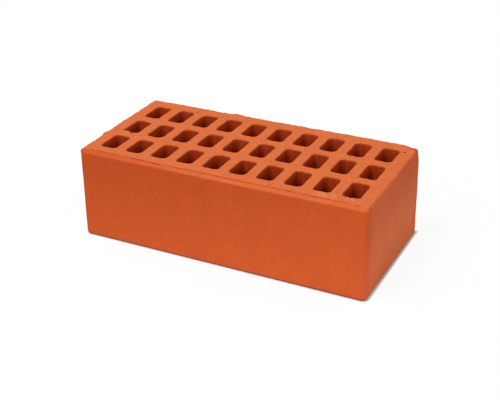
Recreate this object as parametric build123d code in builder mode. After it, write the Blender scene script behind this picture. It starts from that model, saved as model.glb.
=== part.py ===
from build123d import *
import os

# Perforated facing brick: fired clay, extruded through a die with its length and
# width across the section, then wire-cut to its height. All sizes are in millimetres.
# Frame: origin at the centre of the bottom bed face, +X along the length, +Y across
# the width, +Z up through the height.

# Overall size of the fired brick.
brick_length = 250.0
brick_width = 120.0
brick_height = 78.0

# Perforations: rows of upright rounded slots, longer across the brick than along it.
holes_along = 10
holes_across = 3
end_wall = 12.0
web_along = 9.0
side_wall = 13.25
web_across = 8.5
hole_corner_radius = 3.75

# Corners of the die and the softened arrises of the fired clay.
corner_radius = 4.0
bed_arris_radius = 3.5

# Each row of holes fills what the outer walls and the webs between the holes leave.
hole_length = (brick_length - 2 * end_wall - (holes_along - 1) * web_along) / holes_along
hole_width = (brick_width - 2 * side_wall - (holes_across - 1) * web_across) / holes_across
hole_pitch_along = hole_length + web_along
hole_pitch_across = hole_width + web_across

# The body is the outline of the die, drawn out to the height of one cut. The four
# upright corners come round from the die, and the edges of both bed faces are rolled over.
with BuildPart() as brick:
    with BuildSketch(Plane.XY) as die_outline:
        RectangleRounded(brick_length, brick_width, corner_radius)
    extrude(amount=brick_height)
    fillet(
        brick.faces().sort_by(Axis.Z)[-1].edges() + brick.faces().sort_by(Axis.Z)[0].edges(),
        radius=bed_arris_radius,
    )

    # The cores of the die leave the holes, which run straight through from bed to bed
    # and keep the sharp rim of the wire cut.
    with BuildSketch(Plane.XY) as cores:
        with GridLocations(hole_pitch_along, hole_pitch_across, holes_along, holes_across):
            RectangleRounded(hole_length, hole_width, hole_corner_radius)
    extrude(amount=brick_height, mode=Mode.SUBTRACT)

brick.part.label = "brick"

os.makedirs("parts", exist_ok=True)
export_step(brick.part, "parts/brick.step")
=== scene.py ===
"""The finish of a perforated clay brick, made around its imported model.

The brick is one piece of fired clay, so one finished piece replaces the plain node. It is made
in the order that the brick is made: a slug of clay with rolled arrises, the cores that leave its
holes with ragged rims where the wire cut, then the crease beside the rolled arris, and last the
pits and crumbs of handling and firing.

Lengths are in metres. +X runs along the brick, +Y across it and +Z up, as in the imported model.
The stretcher that the camera sees faces -Y, and the header that it sees faces +X.
"""

import math
import random

import bmesh
import bpy
from mathutils import Matrix, Vector


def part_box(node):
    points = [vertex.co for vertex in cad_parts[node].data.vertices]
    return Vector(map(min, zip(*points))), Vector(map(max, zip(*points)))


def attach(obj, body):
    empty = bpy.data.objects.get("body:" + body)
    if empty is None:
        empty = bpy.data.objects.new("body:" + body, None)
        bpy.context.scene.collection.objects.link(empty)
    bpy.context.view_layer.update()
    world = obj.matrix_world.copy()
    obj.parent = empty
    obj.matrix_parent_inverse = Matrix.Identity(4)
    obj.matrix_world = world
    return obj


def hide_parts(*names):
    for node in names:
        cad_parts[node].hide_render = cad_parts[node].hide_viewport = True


MM = 0.001

# Hole pattern of the die, as in the solid model.
HOLES_ALONG = 10
HOLES_ACROSS = 3
END_WALL = 12 * MM
WEB_ALONG = 9 * MM
SIDE_WALL = 13.25 * MM
WEB_ACROSS = 8.5 * MM
HOLE_CORNER_RADIUS = 3.75 * MM

# Edges of the brick. The wire rolls the upper front arris in and down to a narrow flat.
CORNER_RADIUS = 4 * MM
ARRIS_RADIUS = 2.6 * MM
ROLL_IN = 3.8 * MM
ROLL_DOWN = 2.1 * MM
RIM_OPENING = 0.3 * MM
ROUND_SEGMENTS = 6

# Spacing of the mesh lines that let the faces and edges be uneven.
BED_GRID = 1.6 * MM
UPRIGHT_GRID = 4.5 * MM
CREASE_GRID = 0.9 * MM

# Where each kind of unevenness reaches: the worn arrises, less so along the sides, the upper
# bed, and the drawn skin above the foot of the brick.
WORN_INWARDS = 3 * MM
WORN_DOWN = 4 * MM
SIDE_WEAR = 0.75
BED_DEPTH = 6 * MM
FOOT_HEIGHT = 6 * MM

# Cloud noise on the surface: its grain, and how far it moves the clay from crest to trough.
ARRIS_WEAR = (2.8 * MM, 1.4 * MM)
BED_WAVES = (9 * MM, 0.5 * MM)
SKIN_WAVES = (30 * MM, 0.6 * MM)
RIM_TEARS = (1.3 * MM, 2.2 * MM)
WALL_WAVES = (8 * MM, 0.5 * MM)
CREASE_BREAKS = (6 * MM, 3.6 * MM)
CREASE_WANDER = (26 * MM, 2.0 * MM)
CREASE_JITTER = (3 * MM, 1.1 * MM)
PEBBLE_LUMPS = (0.8 * MM, 0.5 * MM)

# Places where the clay was pushed: place, push and reach, in millimetres.
PULLS = (
    ((123.3, 58.3, 77.2), (-0.9, -0.6, -1.2), 10.0),
    ((123.3, -58.0, 76.4), (-0.4, 0.3, -0.5), 7.0),
    ((-124.6, -21.6, 77.0), (-0.9, 0.0, 0.5), 2.2),
    ((-40.0, 59.0, 77.4), (0.0, 0.5, 0.5), 6.0),
)
PULL_GRIP = 1.8 * MM

# Steps of a core below the upper bed, in millimetres, and the cuts of its sides.
CORE_STEPS = (58, 33, 16, 8, 4, 2.4, 1.4, 0.7, 0, -3)
CORE_OVERSHOOT = 3 * MM
CORE_CUTS_ALONG = 7
CORE_CUTS_ACROSS = 19
CORE_LEAST_SIDE = 3 * MM

# How torn each rim is: a share for every hole, and the raggedest ones by column and row.
USUAL_TEARS = (0.15, 0.7)
WORST_TEARS = {(9, 0): 1.0, (0, 1): 0.9, (6, 0): 0.8, (7, 0): 0.8}
TEAR_TOP = 1 * MM
TEAR_FADE = 3 * MM
TEAR_FRONT = 2.5 * MM
BACK_OF_RIM = 0.4

# The crease: a thin blade that stops short of the ends of the brick.
CREASE_STOP = 8 * MM
CREASE_INSET = 0.1 * MM
CREASE_WIDTH = 0.9 * MM
CREASE_HEIGHT = 1.9 * MM

# Pits and nicks of the bed: place along, place across and half-width, in millimetres.
PITS = (
    (116.8, 44.7, 1.5),
    (99.2, -13.6, 1.2),
    (90.8, -8.9, 0.8),
    (-103.8, -14.2, 1.1),
    (-102.0, -12.8, 0.9),
    (-27.5, 39.8, 1.2),
    (26.8, -15.5, 0.9),
    (42.9, -51.8, 0.8),
    (56.7, -44.6, 1.0),
    (60.0, -45.2, 0.8),
    (34.6, -45.4, 0.9),
    (112.3, -45.6, 1.1),
    (109.3, -46.4, 1.2),
    (97.3, -30.6, 1.0),
    (-28.0, 56.6, 0.9),
    (63.7, 57.4, 1.0),
    (106.3, -47.0, 1.5),
    (103.2, -46.6, 1.4),
    (100.4, -45.9, 1.1),
)

# Crumbs that stand on the bed or hang on a rim: place along, place across and half-width.
CRUMBS = (
    (-108.2, -12.0, 1.3),
    (-110.4, -12.6, 0.9),
    (107.6, -49.3, 0.9),
    (124.2, -52.8, 1.0),
    (96.4, -31.6, 0.8),
)
PEBBLE_WIDTHS = (0.8, 1.1)

# Slivers narrower than this are merged, and edges sharper than this stay sharp.
MERGE_DISTANCE = 0.13 * MM
SMOOTH_ANGLE = math.radians(38)

# Places where dry crumbs and scuffs have paled the clay: x, y, z and reach, in millimetres.
SCUFFS = (
    (84.8, -49.8, 78.0, 7.0),
    (92.1, -50.5, 78.0, 5.0),
    (107.7, -49.0, 78.0, 4.0),
    (120.4, -58.0, 75.5, 2.2),
    (125.0, -51.5, 76.5, 1.8),
    (96.8, -31.6, 78.0, 3.2),
    (112.4, -31.5, 78.0, 2.2),
    (-95.1, -18.9, 78.0, 2.5),
)

# Grain of each noise in the clay's colour, in millimetres.
DRAG_GRAIN = 1.7
BAND_GRAIN = 6
SCUFF_GRAIN = 1.4
BLOTCH_GRAIN = 22
MOTTLE_GRAIN = 3.2
SAND_GRAIN = 0.9
TINT_GRAIN = 2.6
FINE_GRAIN = 0.7

# Sockets of the colour Mix node: its share, its two colours and its result.
MIX_SHARE, MIX_FIRST, MIX_SECOND, MIX_RESULT = 0, 6, 7, 2

# Camera, found by matching the outline and the holes to the photograph's 500 x 400 frame.
CAMERA_PLACE = Vector((345.7, -688.3, 430.6)) * MM
CAMERA_TARGET = Vector((-12.8, 0.0, 73.8)) * MM
CAMERA_ROLL = math.radians(-1.17)
CAMERA_LENS = 75.29
CAMERA_SENSOR = 36.0
CAMERA_SHIFT = (0.03, -0.1)
CAMERA_NEAR = 0.01

# Soft boxes, all facing one point: name, place, size and power.
LAMPS = (
    ("key", (-0.4, -0.7, 1.7), 0.7, 22),
    ("fill", (1.5, -0.5, 0.5), 0.8, 3.5),
)
LAMP_TARGET = (0, 0, 0.04)
ROOM_STRENGTH = 0.45
FLOOR_SIZE = 8

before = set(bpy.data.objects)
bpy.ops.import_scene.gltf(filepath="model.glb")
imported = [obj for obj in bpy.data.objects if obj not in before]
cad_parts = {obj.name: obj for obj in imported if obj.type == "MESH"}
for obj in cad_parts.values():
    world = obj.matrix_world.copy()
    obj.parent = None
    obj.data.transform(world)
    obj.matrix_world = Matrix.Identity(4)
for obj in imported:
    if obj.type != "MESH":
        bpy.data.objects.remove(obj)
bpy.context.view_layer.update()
low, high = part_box("brick")
length, width, height = high - low
hole_length = (length - 2 * END_WALL - (HOLES_ALONG - 1) * WEB_ALONG) / HOLES_ALONG
hole_width = (width - 2 * SIDE_WALL - (HOLES_ACROSS - 1) * WEB_ACROSS) / HOLES_ACROSS
pitch_along = hole_length + WEB_ALONG
pitch_across = hole_width + WEB_ACROSS


def pick(piece, kind, test):
    """In edit mode, selects only the vertices, edges or faces that pass the test."""
    bpy.ops.mesh.select_mode(type=kind)
    bpy.ops.mesh.select_all(action="DESELECT")
    mesh = bmesh.from_edit_mesh(piece.data)
    elements = {"VERT": mesh.verts, "EDGE": mesh.edges, "FACE": mesh.faces}[kind]
    for element in elements:
        if test(element):
            element.select_set(True)
    bmesh.update_edit_mesh(piece.data)


def run(edge, axis):
    """How far an edge runs along one axis."""
    return abs(edge.verts[0].co[axis] - edge.verts[1].co[axis])


def start_piece(add, name, **settings):
    """Adds a primitive, names it, applies its place to its mesh and opens it for editing."""
    bpy.ops.object.select_all(action="DESELECT")
    add(**settings)
    piece = bpy.context.object
    piece.name = name
    bpy.ops.object.transform_apply(location=True, rotation=True, scale=True)
    bpy.ops.object.mode_set(mode="EDIT")
    return piece


def stop_editing():
    """Goes back to object mode, which the modifiers need."""
    bpy.ops.object.mode_set(mode="OBJECT")


def choose(piece):
    """In object mode, makes the piece the only one selected, and the active one."""
    bpy.ops.object.select_all(action="DESELECT")
    piece.select_set(True)
    bpy.context.view_layer.objects.active = piece


def apply_modifier(piece, kind, **settings):
    """Adds a modifier with these settings to the piece and applies it."""
    choose(piece)
    modifier = piece.modifiers.new(kind.lower(), kind)
    for setting, value in settings.items():
        setattr(modifier, setting, value)
    bpy.ops.object.modifier_apply(modifier=modifier.name)


def weigh(piece, name, weight):
    """Makes a vertex group from a function of the vertex's place and returns its name."""
    group = piece.vertex_groups.new(name=name)
    for vertex in piece.data.vertices:
        share = float(weight(vertex.co))
        if share > 0:
            group.add([vertex.index], min(share, 1.0), "REPLACE")
    return name


def roughen(piece, group, noise, direction="NORMAL"):
    """Moves the weighted vertices in and out by cloud noise of one grain and reach."""
    grain, reach = noise
    clouds = bpy.data.textures.new(group, "CLOUDS")
    clouds.noise_scale = grain
    clouds.noise_depth = 2
    apply_modifier(
        piece,
        "DISPLACE",
        texture=clouds,
        texture_coords="LOCAL",
        vertex_group=group,
        strength=reach,
        mid_level=0.5,
        direction=direction,
    )


def slice_lines(axis, places):
    """In edit mode, cuts a mesh line through the whole piece at each place on one axis."""
    normal = Vector((0, 0, 0))
    normal[axis] = 1
    for place in places:
        bpy.ops.mesh.select_all(action="SELECT")
        bpy.ops.mesh.bisect(plane_co=normal * place, plane_no=normal)


def even_steps(start, stop, step):
    """Places between two ends, a step or a little less apart, without the ends."""
    count = math.ceil((stop - start) / step)
    return [start + (stop - start) * i / count for i in range(1, count)]


def make_slug():
    """The solid slug: the outline of the die, cut to height, with its arrises rolled."""
    slug = start_piece(
        bpy.ops.mesh.primitive_cube_add,
        "fired_brick",
        size=1,
        location=(low + high) / 2,
        scale=(length, width, height),
    )
    pick(slug, "EDGE", lambda edge: run(edge, 2) > height / 2)
    bpy.ops.mesh.bevel(offset=CORNER_RADIUS, segments=ROUND_SEGMENTS, affect="EDGES")
    pick(slug, "EDGE", lambda edge: run(edge, 2) < MM / 10)
    bpy.ops.mesh.bevel(offset=ARRIS_RADIUS, segments=ROUND_SEGMENTS, affect="EDGES")

    # The wire leaves the upper bed over its front arris and rolls it down to a narrow flat.
    bpy.ops.mesh.select_mode(type="FACE")
    bpy.ops.mesh.select_all(action="SELECT")
    bpy.ops.mesh.bisect(
        plane_co=(0, ROLL_IN - width / 2, high.z),
        plane_no=Vector((0, -ROLL_DOWN, ROLL_IN)).normalized(),
        use_fill=True,
        clear_outer=True,
    )

    slice_lines(0, even_steps(low.x, high.x, BED_GRID))
    slice_lines(1, even_steps(low.y, high.y, BED_GRID))
    slice_lines(2, even_steps(low.z, high.z, UPRIGHT_GRID))
    for place, push, reach in PULLS:
        spot = Vector(place) * MM
        pick(slug, "VERT", lambda vertex: (vertex.co - spot).length < PULL_GRIP)
        bpy.ops.transform.translate(
            value=Vector(push) * MM,
            use_proportional_edit=True,
            proportional_edit_falloff="SMOOTH",
            proportional_size=reach * MM,
        )
    stop_editing()

    def arris(place):
        """The upper arrises, where handling has worn the ends more than the sides."""
        if place.z <= high.z - WORN_DOWN:
            return 0
        if abs(place.x) > length / 2 - WORN_INWARDS:
            return 1
        return SIDE_WEAR if abs(place.y) > width / 2 - WORN_INWARDS else 0

    roughen(slug, weigh(slug, "arris", arris), ARRIS_WEAR)
    roughen(slug, weigh(slug, "bed", lambda place: place.z > high.z - BED_DEPTH), BED_WAVES)
    roughen(slug, weigh(slug, "skin", lambda place: place.z > FOOT_HEIGHT), SKIN_WAVES)
    return slug


def make_core():
    """The core of the first hole, in steps that get finer towards the rim."""
    core = start_piece(bpy.ops.mesh.primitive_plane_add, "cores", size=1)
    bpy.ops.transform.resize(value=(hole_length, hole_width, 1))
    bpy.ops.mesh.bevel(offset=HOLE_CORNER_RADIUS, segments=ROUND_SEGMENTS, affect="VERTICES")
    for axis, cuts in ((0, CORE_CUTS_ALONG), (1, CORE_CUTS_ACROSS)):
        pick(core, "EDGE", lambda edge: run(edge, axis) > CORE_LEAST_SIDE)
        bpy.ops.mesh.subdivide(number_cuts=cuts)
    first_x = -(HOLES_ALONG - 1) / 2 * pitch_along
    first_y = -(HOLES_ACROSS - 1) / 2 * pitch_across
    first = Vector((first_x, first_y, low.z - CORE_OVERSHOOT))
    bpy.ops.mesh.select_all(action="SELECT")
    bpy.ops.transform.translate(value=first)

    # The core grows upwards and opens just at the rim.
    at = first.z
    for depth in CORE_STEPS:
        level = high.z - depth * MM
        bpy.ops.mesh.extrude_region_move(TRANSFORM_OT_translate={"value": (0, 0, level - at)})
        at = level
        if depth == 0:
            spread = [1 + 2 * RIM_OPENING / size for size in (hole_length, hole_width)]
            centre = (first.x, first.y, level)
            bpy.ops.transform.resize(value=(*spread, 1), center_override=centre)
    bpy.ops.mesh.select_all(action="SELECT")
    bpy.ops.mesh.normals_make_consistent(inside=False)
    stop_editing()
    return core


def make_cores():
    """The cores of the die, one for each hole, made uneven where the wire cut."""
    cores = make_core()
    for count, step in ((HOLES_ALONG, (pitch_along, 0, 0)), (HOLES_ACROSS, (0, pitch_across, 0))):
        apply_modifier(
            cores,
            "ARRAY",
            count=count,
            use_relative_offset=False,
            use_constant_offset=True,
            constant_offset_displace=step,
        )

    draw = random.Random(3)
    tears = {
        (column, row): draw.uniform(*USUAL_TEARS)
        for column in range(HOLES_ALONG)
        for row in range(HOLES_ACROSS)
    }
    tears.update(WORST_TEARS)

    def rim(place):
        """The wire drags the clay forward, so the front of each rim is the ragged side."""
        rise = max(0.0, 1 - max(0.0, high.z - TEAR_TOP - place.z) / TEAR_FADE)
        column = round(place.x / pitch_along + (HOLES_ALONG - 1) / 2)
        row = round(place.y / pitch_across + (HOLES_ACROSS - 1) / 2)
        middle = (row - (HOLES_ACROSS - 1) / 2) * pitch_across
        front = place.y - middle < -hole_width / 2 + TEAR_FRONT
        return rise * tears[column, row] * (1.0 if front else BACK_OF_RIM)

    roughen(cores, weigh(cores, "rim", rim), RIM_TEARS)
    roughen(cores, weigh(cores, "wall", lambda place: 1), WALL_WAVES)
    return cores


def combine(piece, other, operation="DIFFERENCE"):
    """Takes the other shape out of the piece, or adds it, and removes the other."""
    apply_modifier(piece, "BOOLEAN", operation=operation, solver="EXACT", object=other)
    bpy.data.objects.remove(other)


def make_crease():
    """A thin wandering blade: the fold that the rolled arris leaves in the bed, in dashes."""
    crease = start_piece(
        bpy.ops.mesh.primitive_cube_add,
        "crease",
        size=1,
        location=(0, ROLL_IN - width / 2 - CREASE_INSET, high.z - CREASE_INSET),
        scale=(length - 2 * CREASE_STOP, CREASE_WIDTH, CREASE_HEIGHT),
    )
    reach = length / 2 - CREASE_STOP
    slice_lines(0, even_steps(-reach, reach, CREASE_GRID))
    stop_editing()
    blade = weigh(crease, "blade", lambda place: 1)
    roughen(crease, blade, CREASE_BREAKS, direction="Z")
    roughen(crease, blade, CREASE_WANDER, direction="Y")
    roughen(crease, blade, CREASE_JITTER, direction="Y")
    return crease


def make_pebbles(name, spots, sink, heights, draw):
    """Lumpy pebbles in the bed, all in one mesh, to be cut out as pits or left as crumbs."""
    pebbles = None
    for x, y, size in spots:
        bpy.ops.object.select_all(action="DESELECT")
        bpy.ops.mesh.primitive_ico_sphere_add(
            subdivisions=3,
            radius=1,
            location=(x * MM, y * MM, high.z - sink * size * MM),
            rotation=(draw.uniform(-0.4, 0.4), draw.uniform(-0.4, 0.4), draw.uniform(0, 3)),
            scale=[
                size * MM * draw.uniform(*part)
                for part in (PEBBLE_WIDTHS, PEBBLE_WIDTHS, heights)
            ],
        )
        pebble = bpy.context.object
        bpy.ops.object.transform_apply(location=True, rotation=True, scale=True)
        if pebbles:
            pebbles.select_set(True)
            bpy.context.view_layer.objects.active = pebbles
            bpy.ops.object.join()
        else:
            pebbles = pebble
    pebbles.name = name
    roughen(pebbles, weigh(pebbles, name, lambda place: 1), PEBBLE_LUMPS)
    return pebbles


def finish_brick():
    """The whole finished brick."""
    brick = make_slug()
    combine(brick, make_cores())
    combine(brick, make_crease())
    pits = make_pebbles("pits", PITS, sink=1.0, heights=(1.7, 2.1), draw=random.Random(7))
    combine(brick, pits)
    crumbs = make_pebbles("crumbs", CRUMBS, sink=0.4, heights=(0.8, 1.1), draw=random.Random(11))
    combine(brick, crumbs, "UNION")

    # The cuts leave slivers and faces of many sides, so it is merged and made all triangles.
    choose(brick)
    bpy.ops.object.mode_set(mode="EDIT")
    bpy.ops.mesh.select_all(action="SELECT")
    bpy.ops.mesh.remove_doubles(threshold=MERGE_DISTANCE)
    bpy.ops.mesh.quads_convert_to_tris(quad_method="BEAUTY", ngon_method="BEAUTY")
    stop_editing()
    bpy.ops.object.shade_smooth_by_angle(angle=SMOOTH_ANGLE)
    return brick


class Signal:
    """A socket of a material's nodes, so that its maths reads as Python."""

    def __init__(self, recipe, socket):
        self.recipe = recipe
        self.socket = socket

    def maths(self, operation, *others):
        """A Math node on this value and any others."""
        values = dict(enumerate((self, *others)))
        return self.recipe.node("ShaderNodeMath", {"operation": operation}, values)

    def __add__(self, other):
        return self.maths("ADD", other)

    def __sub__(self, other):
        return self.maths("SUBTRACT", other)

    def __rsub__(self, other):
        return self.maths("MULTIPLY", -1) + other

    def __truediv__(self, other):
        return self.maths("DIVIDE", other)

    def __mul__(self, other):
        return self.maths("MULTIPLY", other)

    def __abs__(self):
        return self.maths("ABSOLUTE")

    __radd__ = __add__
    __rmul__ = __mul__

    def rise(self, start, stop):
        """0 below start and 1 above stop, with a soft step between."""
        return self.recipe.node(
            "ShaderNodeMapRange",
            {"interpolation_type": "SMOOTHSTEP"},
            {"Value": self, "From Min": start, "From Max": stop},
        )


class Recipe:
    """The nodes of one material or of the world."""

    def __init__(self, owner):
        owner.use_nodes = True
        self.tree = owner.node_tree
        self.tree.nodes.clear()

    def node(self, kind, settings=None, inputs=None, output=0):
        """Adds a node with its settings, fills its sockets and returns one of its outputs."""
        made = self.tree.nodes.new(kind)
        for setting, value in (settings or {}).items():
            setattr(made, setting, value)
        for socket, value in (inputs or {}).items():
            if isinstance(value, Signal):
                self.tree.links.new(value.socket, made.inputs[socket])
            else:
                made.inputs[socket].default_value = value
        return Signal(self, made.outputs[output]) if made.outputs else made

    def mix(self, share, first, second, blend="MIX"):
        """A colour between two colours, by a share from 0 to 1."""
        return self.node(
            "ShaderNodeMix",
            {"data_type": "RGBA", "blend_type": blend},
            {MIX_SHARE: share, MIX_FIRST: first, MIX_SECOND: second},
            output=MIX_RESULT,
        )

    def axes(self, place):
        """The three parts of a place."""
        return [
            self.node("ShaderNodeSeparateXYZ", {}, {"Vector": place}, output=axis)
            for axis in range(3)
        ]

    def clouds(self, place, grain, detail=3, stretch=(1, 1, 1)):
        """Noise from 0 to 1 with one grain size, drawn out along an axis if asked."""
        scaled = self.node(
            "ShaderNodeMapping", {}, {"Vector": place, "Scale": [1 / s for s in stretch]}
        )
        return self.node(
            "ShaderNodeTexNoise", {}, {"Vector": scaled, "Scale": 1 / grain, "Detail": detail}
        )


def colour(red, green, blue):
    """A colour as a screen shows it, from 0 to 255, as the linear colour that a shader takes."""

    def linear(level):
        level /= 255
        return level / 12.92 if level < 0.04045 else ((level + 0.055) / 1.055) ** 2.4

    return (linear(red), linear(green), linear(blue), 1)


# The clay by the part of the brick, with darker tones that paint shade on its sides, ends and
# hole walls, and paler ends that partly paint light.
BED_CLAY = colour(214, 107, 57)
SKIN_CLAY = colour(224, 99, 45)
# Painted shade for the sides, and below it the ends' clay and the painted shade for the ends.
SIDE_PAINTED_SHADE = colour(200, 81, 30)
# The ends: their own pinker clay, partly painted paler as light that makes up for the lamp
# standing towards -X.
HEADER_CLAY_AND_LIGHT = colour(230, 118, 70)
END_PAINTED_SHADE = colour(202, 90, 46)
ROLLED_CLAY = colour(202, 88, 39)
ROLLED_PALE = colour(213, 99, 49)
# Hole walls: streaked clay painted darker as shade in the holes, and painted shade deeper down.
WALL_CLAY_AND_SHADE = colour(186, 62, 14)
WALL_STREAK_AND_SHADE = colour(196, 72, 20)
DEEP_WALL_SHADE = colour(114, 24, 5)
SCUFF_CLAY = colour(232, 158, 112)

# Tints that multiply the clay: the drawn bands of the header, and the grains of all the clay.
BAND_TINTS = ((1.01, 0.97, 1.05, 1), (0.99, 1.02, 0.95, 1))
GRAIN_TINTS = ((1, 0.93, 0.8, 1), (1, 1.07, 1.22, 1))

# The floor as it lights the brick, and as the camera sees it in the shadow.
FLOOR_GREY = (0.7, 0.7, 0.7, 1)
FLOOR_PAPER = (0.97, 0.97, 0.97, 1)
WHITE = (1, 1, 1, 1)


def scuffing(recipe, place):
    """How scuffed each point is: 1 at the middle of a scuff, broken into dry streaks."""
    near = 0
    for x, y, z, reach in SCUFFS:
        away = recipe.node(
            "ShaderNodeVectorMath", {"operation": "DISTANCE"}, {0: place, 1: (x, y, z)}, output=1
        )
        near = (1 - away.rise(reach * 0.4, reach)).maths("MAXIMUM", near)
    return near * recipe.clouds(place, SCUFF_GRAIN, stretch=(4, 1, 1)).rise(0.44, 0.56)


def fired_clay():
    """Fired clay: paler where the wire cut it, deeper where the die drew its skin, with painted
    shade on the sides, ends, foot and hole walls.
    """
    material = bpy.data.materials.new("fired_clay")
    recipe = Recipe(material)
    metres = recipe.node("ShaderNodeTexCoord", output="Object")
    place = recipe.node(
        "ShaderNodeVectorMath", {"operation": "SCALE"}, {"Vector": metres, "Scale": 1 / MM}
    )
    along, across, z = recipe.axes(place)
    x, y = abs(along), abs(across)
    half_length, half_width, top = length / 2 / MM, width / 2 / MM, height / MM

    # How far each point lies outside the ends and the sides, negative within them.
    past_end = x - half_length
    past_side = y - half_width
    corner = CORNER_RADIUS / MM
    round_x = (past_end + corner).maths("MAXIMUM", 0)
    round_y = (past_side + corner).maths("MAXIMUM", 0)
    past_outline = (round_x * round_x + round_y * round_y).maths("SQRT") - corner

    # Masks of the drawn outside, its two ends, the two beds and the rolled arris.
    outer = past_outline.rise(-2.2, -0.4)
    header = (past_end - past_side).rise(-4, 16)
    bed = abs(z - top / 2).rise(top / 2 - 1.2, top / 2 - 0.5)
    fold, drop = half_width - ROLL_IN / MM, top - ROLL_DOWN / MM
    rolled = (0 - across).rise(fold - 0.3, fold + 0.1) * z.rise(drop - 0.9, drop - 0.3)

    # The hole walls are streaked by the core. Their clay is painted darker as shade in the holes,
    # and darker still on the way down as painted shade deeper in.
    drawn = recipe.clouds(place, DRAG_GRAIN, detail=4, stretch=(1, 1, 24))
    wall = recipe.mix(drawn.rise(0.35, 0.65), WALL_CLAY_AND_SHADE, WALL_STREAK_AND_SHADE)
    wall = recipe.mix(z.rise(top - 38, top), DEEP_WALL_SHADE, wall)

    # Painted shade: the sides get darker towards the top and -X, and the ends towards the top and
    # +Y.
    side_shade = (z / top * 0.9 - along / half_length * 0.3).rise(-0.2, 1.1)
    side = recipe.mix(side_shade, SKIN_CLAY, SIDE_PAINTED_SHADE)
    end_shade = (z / top).rise(0.3, 0.95) * (across / half_width * 0.25 + 0.75)
    end = recipe.mix(end_shade, HEADER_CLAY_AND_LIGHT, END_PAINTED_SHADE)
    bands = recipe.clouds(place, BAND_GRAIN, stretch=(1, 1, 10)).rise(0.4, 0.6)
    end = recipe.mix(1.0, end, recipe.mix(bands, *BAND_TINTS), "MULTIPLY")

    paint = recipe.mix(bed, wall, BED_CLAY)
    paint = recipe.mix(outer, paint, recipe.mix(header, side, end))
    flat = recipe.mix(along.rise(-100, 20), ROLLED_CLAY, ROLLED_PALE)
    paint = recipe.mix(rolled, paint, flat)
    open_clay = bed.maths("MAXIMUM", outer)
    paint = recipe.mix(scuffing(recipe, place) * open_clay * 0.6, paint, SCUFF_CLAY)

    # Light and dark: blotches, mottling, sandy grain and drag streaks, and a darker foot that is
    # painted shade.
    blotches = recipe.clouds(place, BLOTCH_GRAIN)
    mottle = recipe.clouds(place, MOTTLE_GRAIN, detail=4)
    sand = recipe.clouds(place, SAND_GRAIN, detail=5)
    rough = (mottle - 0.5) * 0.30 + (sand - 0.5) * 0.62
    streaks = (drawn - 0.5) * (0.12 + header * 0.16)
    tone = 0.93 + blotches * 0.14 + rough * (1 - outer * 0.5) + streaks
    # Painted shade: the clay darkens towards the foot, where the brick meets the floor.
    tone = tone * (z.rise(0.2, 1.8) * 0.4 + 0.6)
    shade = recipe.node("ShaderNodeCombineColor", {}, {0: tone, 1: tone, 2: tone})
    paint = recipe.mix(1.0, paint, shade, "MULTIPLY")
    tint = recipe.clouds(place, TINT_GRAIN).rise(0.3, 0.7)
    paint = recipe.mix(1.0, paint, recipe.mix(tint, *GRAIN_TINTS), "MULTIPLY")

    fine = recipe.clouds(place, FINE_GRAIN, detail=6)
    bump = recipe.node(
        "ShaderNodeBump",
        {},
        {"Strength": 0.6, "Distance": 0.25 * MM, "Height": fine + mottle * 0.8 + drawn * 0.5},
    )
    surface = recipe.node(
        "ShaderNodeBsdfPrincipled",
        {},
        {"Base Color": paint, "Roughness": 0.9, "Specular IOR Level": 0.2, "Normal": bump},
    )
    recipe.node("ShaderNodeOutputMaterial", {}, {"Surface": surface})
    return material


def set_floor():
    """A plain white floor that keeps a soft shadow of the brick."""
    bpy.ops.object.select_all(action="DESELECT")
    bpy.ops.mesh.primitive_plane_add(size=FLOOR_SIZE, location=(0, 0, low.z))
    floor = bpy.context.object
    floor.name = "floor"
    bpy.ops.object.transform_apply(location=True, rotation=True, scale=True)
    material = bpy.data.materials.new("floor_white")
    recipe = Recipe(material)
    seen = recipe.node("ShaderNodeLightPath", output="Is Camera Ray")
    paper = recipe.mix(seen, FLOOR_GREY, FLOOR_PAPER)
    matt = recipe.node("ShaderNodeBsdfDiffuse", {}, {"Color": paper})
    white = recipe.node("ShaderNodeEmission", {}, {"Color": WHITE, "Strength": 1.0})

    # The camera sees the paper and its shadow close round the brick, and plain white beyond.
    x, y, _ = recipe.axes(recipe.node("ShaderNodeTexCoord", output="Object"))
    away = (abs(x) - length / 2).maths("MAXIMUM", abs(y) - width / 2)
    beside = away.rise(0, 2.5 * MM)
    beyond = away.rise(50 * MM, 300 * MM)
    # Under the brick, the shadow seen through the holes is lifted with painted light.
    lift_under_brick = 1 - away.rise(-9 * MM, -6 * MM)
    bright = beside * 0.92 + beyond * 0.08 + lift_under_brick * 0.3
    surface = recipe.node("ShaderNodeMixShader", {}, {0: seen * bright, 1: matt, 2: white})
    recipe.node("ShaderNodeOutputMaterial", {}, {"Surface": surface})
    floor.data.materials.append(material)


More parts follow.
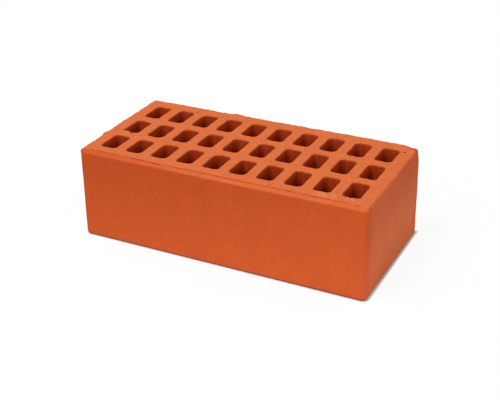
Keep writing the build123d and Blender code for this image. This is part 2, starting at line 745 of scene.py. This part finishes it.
def set_world():
    """Even white surroundings: a soft fill for the brick, and plain white to the camera."""
    world = bpy.data.worlds.new("studio")
    bpy.context.scene.world = world
    recipe = Recipe(world)
    camera, glossy, transmission = [
        recipe.node("ShaderNodeLightPath", output=f"Is {ray} Ray")
        for ray in ("Camera", "Glossy", "Transmission")
    ]
    seen = camera.maths("MAXIMUM", glossy).maths("MAXIMUM", transmission)
    fill = recipe.node("ShaderNodeBackground", {}, {"Color": WHITE, "Strength": ROOM_STRENGTH})
    white = recipe.node("ShaderNodeBackground", {}, {"Color": WHITE, "Strength": 1.0})
    surface = recipe.node("ShaderNodeMixShader", {}, {0: seen, 1: fill, 2: white})
    recipe.node("ShaderNodeOutputWorld", {}, {"Surface": surface})


def set_lamp(name, place, size, power):
    """A square soft box at a place, facing the brick."""
    light = bpy.data.lights.new(name, "AREA")
    light.size = size
    light.energy = power
    lamp = bpy.data.objects.new(name, light)
    bpy.context.scene.collection.objects.link(lamp)
    lamp.location = place
    facing = Vector(LAMP_TARGET) - Vector(place)
    lamp.rotation_euler = facing.to_track_quat("-Z", "Y").to_euler()


def set_camera():
    """The camera at the photograph's angle."""
    camera = bpy.data.cameras.new("camera")
    camera.lens = CAMERA_LENS
    camera.sensor_width = CAMERA_SENSOR
    camera.sensor_fit = "HORIZONTAL"
    camera.shift_x, camera.shift_y = CAMERA_SHIFT
    camera.clip_start = CAMERA_NEAR
    viewer = bpy.data.objects.new("camera", camera)
    bpy.context.scene.collection.objects.link(viewer)
    turn = (CAMERA_TARGET - CAMERA_PLACE).to_track_quat("-Z", "Y").to_matrix().to_4x4()
    roll = Matrix.Rotation(CAMERA_ROLL, 4, "Z")
    viewer.matrix_world = Matrix.Translation(CAMERA_PLACE) @ turn @ roll
    bpy.context.scene.camera = viewer


set_camera()
set_world()
set_floor()
for lamp in LAMPS:
    set_lamp(*lamp)
bpy.context.scene.view_settings.view_transform = "Standard"

brick = finish_brick()
brick.data.materials.clear()
brick.data.materials.append(fired_clay())
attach(brick, "root")
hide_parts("brick")
